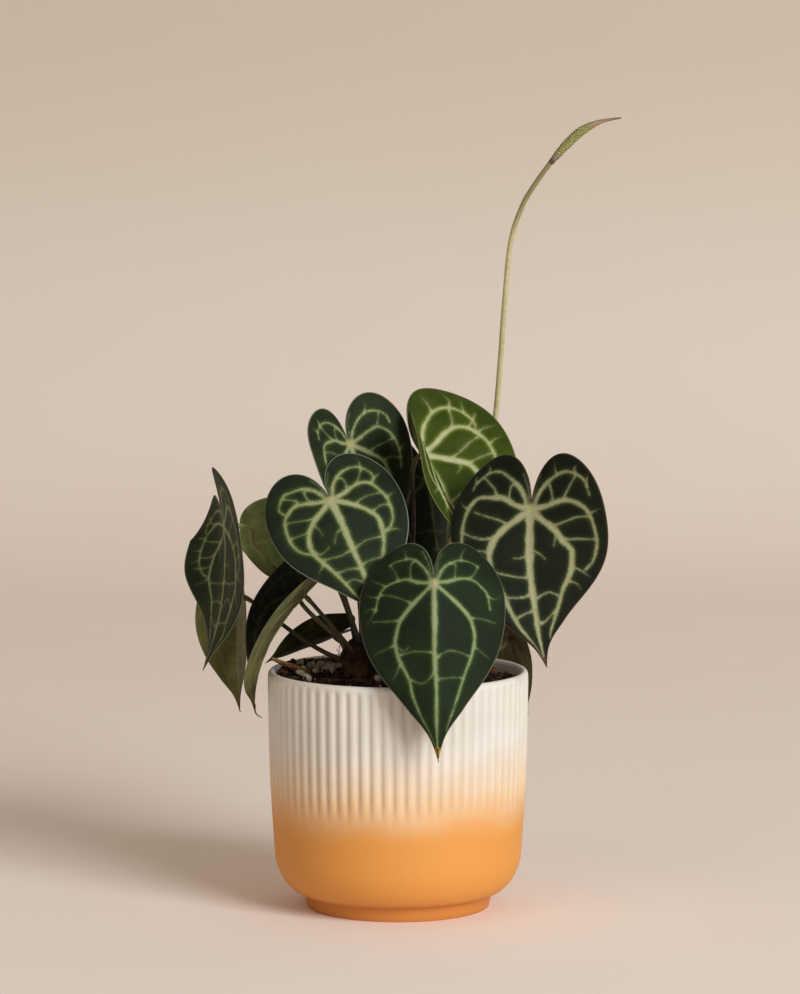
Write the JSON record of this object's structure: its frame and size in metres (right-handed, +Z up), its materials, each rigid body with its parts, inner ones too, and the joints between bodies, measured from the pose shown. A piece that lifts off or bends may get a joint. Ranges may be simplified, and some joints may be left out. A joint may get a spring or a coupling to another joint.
{
  "type": "potted house plant",
  "caption": "Potted velvet-leaved aroid with pale-veined heart-shaped leaves on arching stalks, a flower spike and a fluted ceramic pot with an orange lower half.",
  "frame": {"origin": "centre of the pot's flat foot, on the surface it stands on", "axes": "+Z up, along the pot's axis and the plant's height; -Y towards the side that the picture shows, +X to the right of that view"},
  "size_m": [0.2338, 0.1656, 0.4239],
  "materials": {
    "glazed_pot": "satin glaze, white fading to orange towards the foot",
    "potting_mix": "loose, dark, granular",
    "caudex": "rough, fibrous",
    "bark": "rough",
    "dry_sheath": "papery, dry",
    "dark_blade": "velvety, dark green with pale veins",
    "young_blade": "velvety, bright green with pale veins",
    "shaded_blade": "matt, olive brown underside",
    "stalk": "smooth, waxy",
    "flower_stalk": "smooth, waxy",
    "spadix": "scaly"
  },
  "bodies": {
    "root": {"bark_chip_a": "bark", "bark_chip_b": "bark", "bark_chip_c": "bark", "bark_chip_d": "bark", "pot": "glazed_pot", "soil": "potting_mix", "stem_base": "caudex", "dry_sheath": "dry_sheath", "blade_front": "dark_blade", "stalk_front": "stalk", "blade_right": "dark_blade", "stalk_right": "stalk", "blade_left": "dark_blade", "stalk_left": "stalk", "blade_upper_left": "dark_blade", "stalk_upper_left": "stalk", "blade_young": "young_blade", "stalk_young": "stalk", "blade_far_left": "dark_blade", "stalk_far_left": "stalk", "blade_low_left": "shaded_blade", "stalk_low_left": "stalk", "blade_behind_left": "shaded_blade", "stalk_behind_left": "stalk", "blade_folded": "shaded_blade", "stalk_folded": "stalk", "blade_small": "shaded_blade", "stalk_small": "stalk", "blade_back_right": "shaded_blade", "stalk_back_right": "stalk", "blade_shaded": "shaded_blade", "stalk_shaded": "stalk", "flower_stalk": "flower_stalk", "spathe_scar": "spadix", "spadix": "spadix"}
  },
  "joints": []
}
